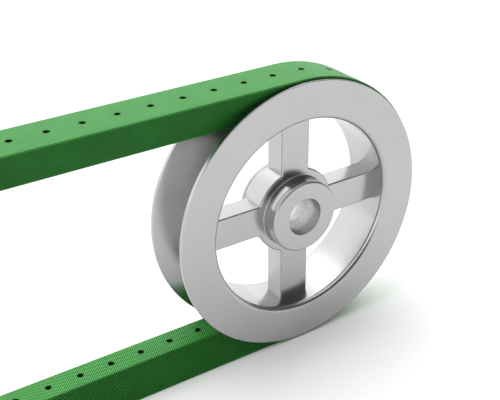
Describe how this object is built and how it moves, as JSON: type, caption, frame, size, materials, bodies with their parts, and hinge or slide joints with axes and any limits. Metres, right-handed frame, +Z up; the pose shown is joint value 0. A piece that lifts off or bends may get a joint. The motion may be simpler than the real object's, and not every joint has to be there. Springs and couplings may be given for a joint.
{
  "type": "V-belt idler pulley",
  "caption": "Spoked V-groove idler pulley on ball bearings with a through bore, carrying a perforated fabric-wrapped V-belt.",
  "frame": {"origin": "centre of the wheel on the bore axis, midway between its two faces", "axes": "+Y along the bore towards the rear face, +Z up, the two belt runs leave towards -X; the front face looks along -Y"},
  "size_m": [0.2095, 0.0262, 0.127],
  "materials": {
    "wheel_metal": "polished, glossy",
    "spacer_metal": "polished, glossy",
    "bearing_steel": "ground",
    "ball_steel": "mirror",
    "cage_brass": "satin",
    "shield_steel": "pressed, satin",
    "spring_steel": "phosphated, dark",
    "sleeve_steel": "turned",
    "belt_fabric": "woven, rubberised",
    "belt_rubber": "matt",
    "belt_cord": "twisted cord"
  },
  "bodies": {
    "fixed": {"front_end_spacer": "spacer_metal", "rear_end_spacer": "spacer_metal", "centre_sleeve": "sleeve_steel", "front_inner_ring": "bearing_steel", "rear_inner_ring": "bearing_steel", "belt_jacket": "belt_fabric", "belt_core": "belt_rubber", "belt_cords": "belt_cord"},
    "wheel": {"wheel": "wheel_metal", "front_outer_ring": "bearing_steel", "rear_outer_ring": "bearing_steel", "front_outer_shield": "shield_steel", "front_inner_shield": "shield_steel", "rear_outer_shield": "shield_steel", "rear_inner_shield": "shield_steel", "front_retaining_ring": "spring_steel", "rear_retaining_ring": "spring_steel"},
    "front_ball_cage": {"front_balls": "ball_steel", "front_cage": "cage_brass"},
    "rear_ball_cage": {"rear_balls": "ball_steel", "rear_cage": "cage_brass"}
  },
  "joints": [
    {"name": "wheel_spin", "type": "hinge", "parent": "fixed", "child": "wheel", "pos_m": [0, 0, 0], "axis": [0, 1, 0], "continuous": true},
    {"name": "front_cage_spin", "type": "hinge", "parent": "fixed", "child": "front_ball_cage", "pos_m": [0, -0.0055, 0], "axis": [0, 1, 0], "continuous": true},
    {"name": "rear_cage_spin", "type": "hinge", "parent": "fixed", "child": "rear_ball_cage", "pos_m": [0, 0.0055, 0], "axis": [0, 1, 0], "continuous": true}
  ],
  "couplings": [
    {"joint": "front_cage_spin", "follows": "wheel_spin", "ratio": 0.56465},
    {"joint": "rear_cage_spin", "follows": "wheel_spin", "ratio": 0.56465}
  ]
}
